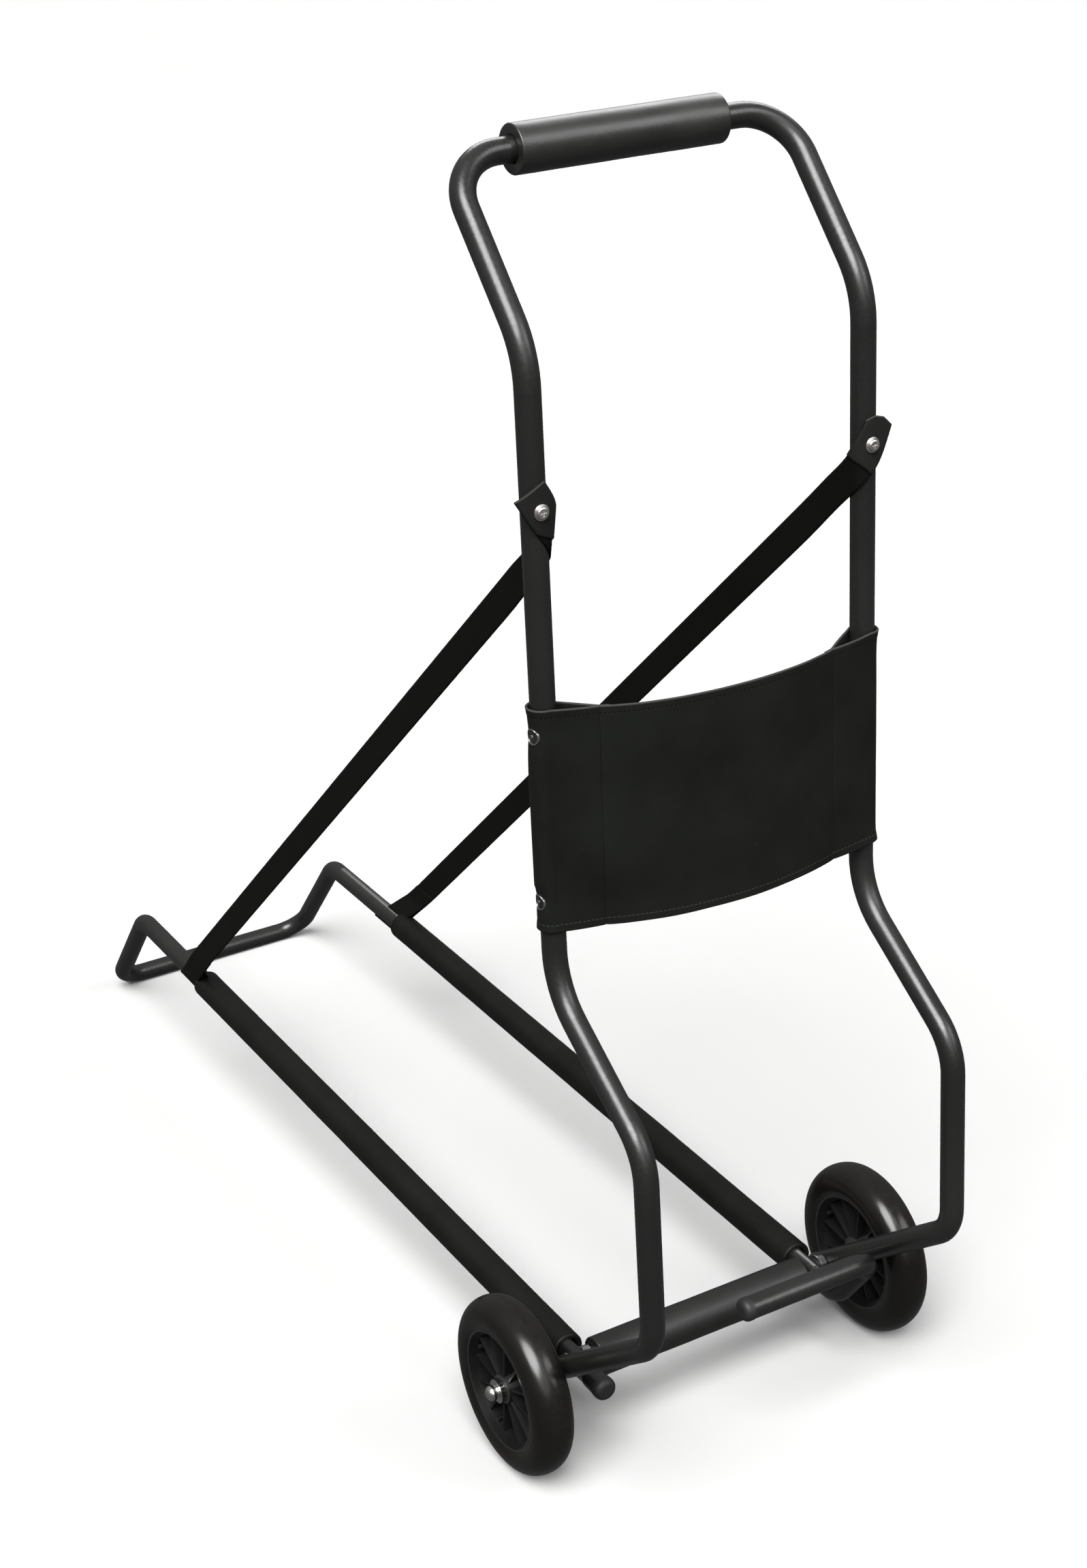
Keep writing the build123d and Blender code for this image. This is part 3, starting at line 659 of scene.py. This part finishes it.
def build_strap(name, side, z_screw, tilt, shift, ends, double, turn_top, turn_low, droop, face, seed):
    """One strap: folded-over end under the screw, round the riser's inboard side, down to a sewn loop on the rail."""
    d0 = 10.05
    y0 = riser(z_screw)[1]
    v_list = np.linspace(-W2, W2, 13)
    a0 = math.radians(tilt)
    t0, n0 = np.array([math.cos(a0), -math.sin(a0)]), np.array([math.sin(a0), math.cos(a0)])

    def turn(v):
        f = (v / W2 + 1) / 2
        pf = turn_low[0] + (turn_top[0] - turn_low[0]) * f
        r = turn_low[1] + (turn_top[1] - turn_low[1]) * f
        return pf, r

    def k_of(v):
        pf, r = turn(v)
        return -d0 - pf - r * (math.pi / 2 - 1)

    # centre line in (run, height): straight under the screw, then easing into the long run
    y_join = -37.8
    z_join = RUN_MID[1] + (y_join - RUN_MID[0]) * RUN_U[1] / RUN_U[0]
    p_join = (AY + y_join) - y0 - k_of(0.0)
    b0, b3 = np.array([0.0, z_screw]) + n0 * shift, np.array([p_join, z_join])
    b1, b2 = b0 + t0 * 21.0, b3 - RUN_U * 21.0
    s = np.linspace(0, 1, 200)[:, None]
    bez = (1 - s) ** 3 * b0 + 3 * (1 - s) ** 2 * s * b1 + 3 * (1 - s) * s ** 2 * b2 + s ** 3 * b3
    cum = np.concatenate([[0], np.cumsum(np.linalg.norm(np.diff(bez, axis=0), axis=1))])
    l_bez = cum[-1]

    def centre(l):
        if l <= 0:
            return b0 + t0 * l, t0
        if l >= l_bez:
            return b3 + RUN_U * (l - l_bez), RUN_U
        c = np.array([np.interp(l, cum, bez[:, 0]), np.interp(l, cum, bez[:, 1])])
        d = np.array([np.interp(min(l + 0.5, l_bez), cum, bez[:, a]) - np.interp(max(l - 0.5, 0), cum, bez[:, a]) for a in (0, 1)])
        return c, d / np.linalg.norm(d)

    # where each thread of the webbing meets the rail's axis
    y_b3 = AY + y_join
    def l_rail(v):
        q = np.array([y_join, z_join]) + RUN_N * v
        hgt = (q - np.array([0.0, AZ])) @ RAIL_N
        return l_bez + hgt / -(RUN_U @ RAIL_N)

    sin_b = -(RUN_U @ RAIL_N)
    B = R_TUBE + 0.72
    A = B / sin_b
    X_RUN, X_LOW = 10.25, X_UP - X_RAIL - B           # inboard offsets of the run and of the rail's outboard side

    def place(l, v, lift):
        """Point of the top part and the run; lift is how far it stands off the first layer."""
        c, d = centre(l)
        n = np.array([-d[1], d[0]])
        p, z = c + n * v
        pf, r = turn(v)
        pe = pf + r * math.pi / 2
        tip = -0.0333 * (z - z_screw)                 # the riser leans
        dist = math.hypot(p, z - z_screw)
        press = math.exp(-(dist / 6.5) ** 4)
        e = lift * (1 - 0.36 * press) - 0.0 * press
        if p <= pf:
            bend = max(0.0, -p - 3.5)
            x_in, dd = p, d0 + e - droop * bend * bend - 0.05
            lean = 1.0
        elif p <= pe:
            al = (p - pf) / r
            x_in, dd = pf + (r + e) * math.sin(al), d0 - r + (r + e) * math.cos(al)
            lean = 1.0
        else:
            q = p - pe
            f = float(smooth(q / 58.0))
            left = l_rail(v) - l
            x_run = X_LOW + (X_RUN - X_LOW) * float(smooth(left / 72.0))
            x_in = (pf + r) * (1 - f) + x_run * f + e
            y = p + y0 + k_of(v) * (1 - f) + k_of(0.0) * f
            lean = 1.0 - float(smooth(q / 70.0))
            return np.array([side * (X_UP - x_in), y + tip * lean, z])
        return np.array([side * (X_UP - x_in), y0 - dd + tip * lean, z])

    def end_of(v):
        return float(np.interp(v, (-W2, -2.0, 6.5, W2), ends))

    stations, layer = [], []
    fold_r = 0.62
    for f in np.linspace(0, 1, 26):
        row = []
        for v in v_list:
            cut = float(np.interp(v, (-W2, 0.0, W2), double)) + 0.35 * wob(v, 0, 0, 6, seed)
            row.append(place(cut + (end_of(v) - cut) * f, v, 2 * fold_r * float(smooth(f / 0.05 + 0.55))))
        stations.append(row)
        layer.append(1)
    for a in np.linspace(0, 180, 8)[1:-1]:
        a = math.radians(a)
        row = []
        for v in v_list:
            row.append(place(end_of(v) - fold_r * math.sin(a) * 1.15, v, fold_r * (1 + math.cos(a))))
        stations.append(row)
        layer.append(2)
    l_top = 72.0
    for f in np.linspace(0, 1, 44):
        stations.append([place(end_of(v) + (l_top - end_of(v)) * f, v, 0.0) for v in v_list])
        layer.append(0)
    l_far = l_rail(0.0) - 150.0
    for l in np.linspace(l_top, l_far, 46)[1:]:
        stations.append([place(l, v, 0.0) for v in v_list])
        layer.append(0)
    for f in np.linspace(0, 1, 40)[1:]:
        stations.append([place(l_far + (l_rail(v) - l_far) * f, v, 0.0) for v in v_list])
        layer.append(0)

    # loop round the rail, in the plane of each thread
    sew = 46.0

    def thread_point(v, l, x_in):
        q = np.array([y_join, z_join]) + RUN_N * v + RUN_U * (l - l_bez)
        return np.array([side * (X_UP - x_in), AY + q[0], q[1]])

    x_sew = X_LOW + (X_RUN - X_LOW) * float(smooth(sew / 72.0)) + WEB + 0.12
    rail_in = X_UP - X_RAIL                           # inboard offset of the rail's axis
    lo_, hi_ = math.radians(150), math.radians(268)
    for _ in range(50):
        m = (lo_ + hi_) / 2
        pt = np.array([A * math.sin(m), rail_in - B * math.cos(m)])
        tg = np.array([A * math.cos(m), B * math.sin(m)])
        to = np.array([-sew, x_sew]) - pt
        if tg[0] * to[1] - tg[1] * to[0] > 0:
            hi_ = m
        else:
            lo_ = m
    phi = (lo_ + hi_) / 2
    for a in np.linspace(0, phi, 34)[1:]:
        stations.append([thread_point(v, l_rail(v) + A * math.sin(a), rail_in - B * math.cos(a)) for v in v_list])
        layer.append(0)
    p_end = (A * math.sin(phi), rail_in - B * math.cos(phi))
    for f in np.linspace(0, 1, 12)[1:]:
        ll, xx = p_end[0] + (-sew - p_end[0]) * f, p_end[1] + (x_sew - p_end[1]) * f
        stations.append([thread_point(v, l_rail(v) + ll, xx) for v in v_list])
        layer.append(0)
    for left in np.linspace(sew, sew + 30.0, 10)[1:]:
        xx = X_LOW + (X_RUN - X_LOW) * float(smooth(left / 72.0)) + WEB + 0.12
        stations.append([thread_point(v, l_rail(v) - left - 0.4 * wob(v, 0, 0, 5, seed + 2), xx) for v in v_list])
        layer.append(0)
    G = np.array(stations)
    n_s = len(G)
    mid = G[:, len(v_list) // 2]
    run = np.concatenate([[0], np.cumsum(np.linalg.norm(np.diff(mid, axis=0), axis=1))])
    Us = np.repeat(run[:, None], len(v_list), 1)
    Vs = np.repeat(v_list[None, :], n_s, 0)
    vv, ff, uvv, st = thick_strip(G, Us, Vs, WEB, None, 0.6)
    mat_of = [layer[min(q, n_s - 1)] for q in st]
    # the third material, on the fold round the strap's end, is a painted highlight
    ob = link(name, vv, ff, uvv, [web_long, face, web_fold_painted_highlight], mat_of)
    me = ob.data
    # outward faces
    import bmesh
    bm = bmesh.new()
    bm.from_mesh(me)
    bmesh.ops.recalc_face_normals(bm, faces=bm.faces)
    bm.to_mesh(me)
    bm.free()
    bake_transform(ob)
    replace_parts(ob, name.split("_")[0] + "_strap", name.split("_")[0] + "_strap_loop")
    return ob


build_strap("left_strap_web", -1, 814.5, 61.0, 0.8, (-16.0, -16.0, -16.0, -16.0), (10.5, 32.0, 36.0), (5.5, 9.0), (0.6, 9.6), 0.016,
            web_plain, 11.0)
build_strap("right_strap_web", 1, 809.7, 64.5, 0.0, (-17.5, -20.6, -19.2, -14.0), (18.2, 17.2, 19.5), (4.5, 8.2), (3.0, 7.3), 0.010,
            web_cross, 12.0)

# ---------------------------------------------------------------- studio
n = Nodes("floor_pale")
co = n.obj()
n.put("Base Color", n.ramp(n.noise(co, 1.3, 3), [(0.3, (0.58, 0.58, 0.577)), (0.7, (0.60, 0.60, 0.597))]))
n.put("Roughness", n.span(n.noise(co, 30, 3), 0.3, 0.7, 0.60, 0.72))
n.put("Specular IOR Level", 0.25)
floor_me = bpy.data.meshes.new("floor")
floor_me.from_pydata([(-30, -30, 0), (30, -30, 0), (30, 30, 0), (-30, 30, 0)], [], [(0, 1, 2, 3)])
floor_me.materials.append(n.mat)
floor = bpy.data.objects.new("floor", floor_me)
bpy.context.scene.collection.objects.link(floor)

floor.visible_diffuse = False
floor.visible_glossy = False

# pale backdrop all round, seen behind the floor in low views only
n = Nodes("backdrop_pale")
co = n.obj()
n.put("Base Color", (0.0, 0.0, 0.0, 1.0))
n.put("Roughness", 1.0)
n.put("Specular IOR Level", 0.0)
n.put("Emission Color", n.ramp(n.noise(co, 0.2, 2), [(0.3, (0.985, 0.985, 0.984)), (0.7, (1.0, 1.0, 0.999))]))
n.put("Emission Strength", 1.04)
ring, wall, quads = 72, [], []
for i in range(13):
    a = math.radians(86.0 * i / 12)
    wall += [(29.5 * math.cos(a) * math.cos(2 * math.pi * k / ring), 29.5 * math.cos(a) * math.sin(2 * math.pi * k / ring),
              29.5 * math.sin(a) - 0.01) for k in range(ring)]
for i in range(12):
    quads += [(i * ring + k, i * ring + (k + 1) % ring, (i + 1) * ring + (k + 1) % ring, (i + 1) * ring + k) for k in range(ring)]
wall_me = bpy.data.meshes.new("backdrop")
wall_me.from_pydata(wall, [], quads)
wall_me.materials.append(n.mat)
backdrop = bpy.data.objects.new("backdrop", wall_me)
bpy.context.scene.collection.objects.link(backdrop)
backdrop.visible_diffuse = False
backdrop.visible_glossy = False
backdrop.visible_shadow = False

world = bpy.data.worlds.new("studio")
bpy.context.scene.world = world
world.use_nodes = True
wt = world.node_tree
bg = wt.nodes["Background"]
# a dim room that is lighter overhead than low down
sky = wt.nodes.new("ShaderNodeTexCoord")
sep = wt.nodes.new("ShaderNodeSeparateXYZ")
ramp = wt.nodes.new("ShaderNodeValToRGB")
wt.links.new(sky.outputs["Generated"], sep.inputs[0])
lift = wt.nodes.new("ShaderNodeMath")
lift.operation = "MULTIPLY_ADD"
lift.inputs[1].default_value, lift.inputs[2].default_value = 0.5, 0.5
wt.links.new(sep.outputs["Z"], lift.inputs[0])
wt.links.new(lift.outputs[0], ramp.inputs["Fac"])
el = ramp.color_ramp.elements
el[0].position, el[0].color = 0.40, (0.11, 0.11, 0.11, 1)
el[1].position, el[1].color = 0.90, (0.30, 0.30, 0.30, 1)
wt.links.new(ramp.outputs["Color"], bg.inputs["Color"])
bg.inputs["Strength"].default_value = 1.0


def area(name, at, aim, sx, sy, power):
    li = bpy.data.lights.new(name, "AREA")
    li.shape = "RECTANGLE"
    li.size, li.size_y, li.energy = sx, sy, power
    ob = bpy.data.objects.new(name, li)
    bpy.context.scene.collection.objects.link(ob)
    ob.location = at
    d = Vector(aim) - Vector(at)
    ob.rotation_euler = d.to_track_quat("-Z", "Y").to_euler()
    return ob


def sky_lamp(name, towards, power, spread):
    li = bpy.data.lights.new(name, "SUN")
    li.energy, li.angle = power, math.radians(spread)
    ob = bpy.data.objects.new(name, li)
    bpy.context.scene.collection.objects.link(ob)
    ob.rotation_euler = Vector(towards).to_track_quat("-Z", "Y").to_euler()


sky_lamp("key", (0.40, 0.45, -0.80), 5.2, 42)
sky_lamp("front", (0.20, 0.76, -0.56), 0.6, 50)
sky_lamp("fill_right", (-0.515, 0.67, -0.54), 0.75, 30)
rim = area("rim", (2.5, 2.85, 3.8), (0.0, -0.3, 0.8), 4.0, 2.4, 150)
# the edge lamp lights the top of the handle and the hardware on the axle only
lit = bpy.data.collections.new("rim_lit")
for ob in (bpy.data.objects["grip_foam"], nodes["handle_bow"], nodes["right_rail"], nodes["axle_nuts"], nodes["axle_washers"]):
    lit.objects.link(ob)
rim.light_linking.receiver_collection = lit

# ---------------------------------------------------------------- camera at the photograph's angle
yaw, pitch, roll = math.radians(28.78), math.radians(22.19), math.radians(-3.80)
fwd = Vector((math.sin(yaw) * math.cos(pitch), math.cos(yaw) * math.cos(pitch), -math.sin(pitch)))
right = fwd.cross(Vector((0, 0, 1))).normalized()
up = right.cross(fwd)
r2 = math.cos(roll) * right + math.sin(roll) * up
u2 = -math.sin(roll) * right + math.cos(roll) * up
cam_data = bpy.data.cameras.new("camera")
cam_data.sensor_width = 36.0
cam_data.lens = 60.137
cam_data.clip_start, cam_data.clip_end = 0.05, 120.0
cam = bpy.data.objects.new("camera", cam_data)
bpy.context.scene.collection.objects.link(cam)
m = Matrix((r2, u2, -fwd)).transposed().to_4x4()
m.translation = Vector((-0.980, -2.01325, 1.31801))
cam.matrix_world = m
bpy.context.scene.camera = cam
bpy.context.scene.view_settings.view_transform = "Standard"

bpy.context.view_layer.update()
